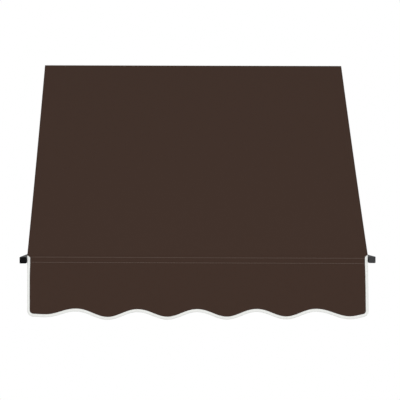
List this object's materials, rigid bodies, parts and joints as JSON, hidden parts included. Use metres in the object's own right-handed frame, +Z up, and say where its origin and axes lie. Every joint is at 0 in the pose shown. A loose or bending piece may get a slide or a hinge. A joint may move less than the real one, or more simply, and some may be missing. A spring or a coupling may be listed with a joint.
{
  "type": "window awning",
  "caption": "Open-sided cloth window awning: a sloping canopy from a head rail to a front bar on lift-up square arms, with a scalloped, tape-bound valance.",
  "frame": {"origin": "middle of the head rail's back face, on the wall", "axes": "+X to the right seen from the front, +Y into the wall, +Z up; the awning stands out towards -Y"},
  "size_m": [1.0478, 0.61, 0.7927],
  "materials": {
    "brown_cloth": "matte",
    "white_tape": "matte",
    "black_paint": "satin",
    "black_plastic": "satin",
    "pale_nylon": "satin",
    "rail_aluminium": "satin",
    "zinc_steel": "satin",
    "cord_plastic": "matte"
  },
  "bodies": {
    "wall_hardware": {"head_rail": "rail_aluminium", "rail_cap_left": "black_plastic", "rail_cap_right": "black_plastic", "hem_cord": "cord_plastic", "canopy_panel": "brown_cloth", "wall_bracket_left": "black_paint", "wall_bracket_right": "black_paint", "pivot_bolt_left": "zinc_steel", "pivot_bolt_right": "zinc_steel", "pivot_nut_left": "zinc_steel", "pivot_nut_right": "zinc_steel", "pivot_head_washer_left": "zinc_steel", "pivot_head_washer_right": "zinc_steel", "pivot_nut_washer_left": "zinc_steel", "pivot_nut_washer_right": "zinc_steel"},
    "arm_frame": {"arm_left": "black_paint", "arm_right": "black_paint", "arm_front_cap_left": "black_plastic", "arm_front_cap_right": "black_plastic", "arm_rear_cap_left": "black_plastic", "arm_rear_cap_right": "black_plastic", "pivot_outer_bush_left": "pale_nylon", "pivot_outer_bush_right": "pale_nylon", "pivot_inner_bush_left": "pale_nylon", "pivot_inner_bush_right": "pale_nylon"},
    "bar_and_valance": {"front_bar": "black_paint", "bar_plug_left": "black_plastic", "bar_plug_right": "black_plastic", "valance": "brown_cloth", "valance_binding": "white_tape"}
  },
  "joints": [
    {"name": "frame_lift", "type": "hinge", "parent": "wall_hardware", "child": "arm_frame", "pos_m": [0, -0.022, -0.6017], "axis": [-1, 0, 0], "range_deg": [0, 70], "deforming": ["canopy_panel"]},
    {"name": "front_bar_turn", "type": "hinge", "parent": "arm_frame", "child": "bar_and_valance", "pos_m": [0, -0.5917, -0.6017], "axis": [-1, 0, 0], "range_deg": [-70, 0]}
  ],
  "couplings": [
    {"joint": "front_bar_turn", "follows": "frame_lift", "ratio": -1}
  ]
}
